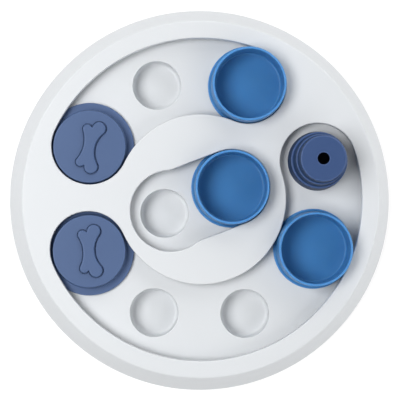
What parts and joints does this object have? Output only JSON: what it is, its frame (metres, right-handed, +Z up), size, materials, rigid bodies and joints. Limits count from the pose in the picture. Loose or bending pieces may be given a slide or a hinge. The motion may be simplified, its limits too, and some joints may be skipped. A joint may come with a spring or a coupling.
{
  "type": "dog puzzle feeder toy",
  "caption": "Round treat-puzzle board with slotted tracks over treat wells, open cups and bone-marked pucks that slide in the tracks, and a stepped cone that lifts off.",
  "frame": {"origin": "centre of the round board, on the ground that its feet stand on", "axes": "+Z up; +X to the right and +Y away as in the picture, with the straight middle slot at 21.75 degrees from +X"},
  "size_m": [0.28, 0.28, 0.064],
  "materials": {
    "board_white": "fine satin moulded polypropylene",
    "cup_blue": "smooth, slightly glossy",
    "puck_slate_blue": "fine matt moulded texture",
    "cone_indigo": "polished",
    "foot_rubber": "matt",
    "screw_steel": "zinc plated"
  },
  "bodies": {
    "board": {"top_cover": "board_white", "tray": "board_white", "screws": "screw_steel", "foot_1": "foot_rubber", "foot_2": "foot_rubber", "foot_3": "foot_rubber", "foot_4": "foot_rubber", "foot_5": "foot_rubber", "foot_6": "foot_rubber"},
    "puck_upper": {"bone_puck_upper": "puck_slate_blue"},
    "puck_lower": {"bone_puck_lower": "puck_slate_blue"},
    "cup_upper": {"cup_upper": "cup_blue"},
    "cup_middle": {"cup_middle": "cup_blue"},
    "cup_lower": {"cup_lower": "cup_blue"},
    "cone": {"cone": "cone_indigo"}
  },
  "joints": [
    {"name": "puck_upper_slide", "type": "hinge", "parent": "board", "child": "puck_upper", "pos_m": [0, 0, 0], "axis": [0, 0, 1], "range_deg": [-46, 0]},
    {"name": "cup_upper_slide", "type": "hinge", "parent": "board", "child": "cup_upper", "pos_m": [0, 0, 0], "axis": [0, 0, 1], "range_deg": [0, 46]},
    {"name": "puck_lower_slide", "type": "hinge", "parent": "board", "child": "puck_lower", "pos_m": [0, 0, 0], "axis": [0, 0, 1], "range_deg": [-0.5, 90]},
    {"name": "cup_lower_slide", "type": "hinge", "parent": "board", "child": "cup_lower", "pos_m": [0, 0, 0], "axis": [0, 0, 1], "range_deg": [-90, 8]},
    {"name": "cup_middle_slide", "type": "slide", "parent": "board", "child": "cup_middle", "axis": [0.9288, 0.3706, 0], "range_m": [-0.0469, 0]},
    {"name": "cone_lift", "type": "slide", "parent": "board", "child": "cone", "axis": [0, 0, 1], "range_m": [0, 0.06]}
  ]
}
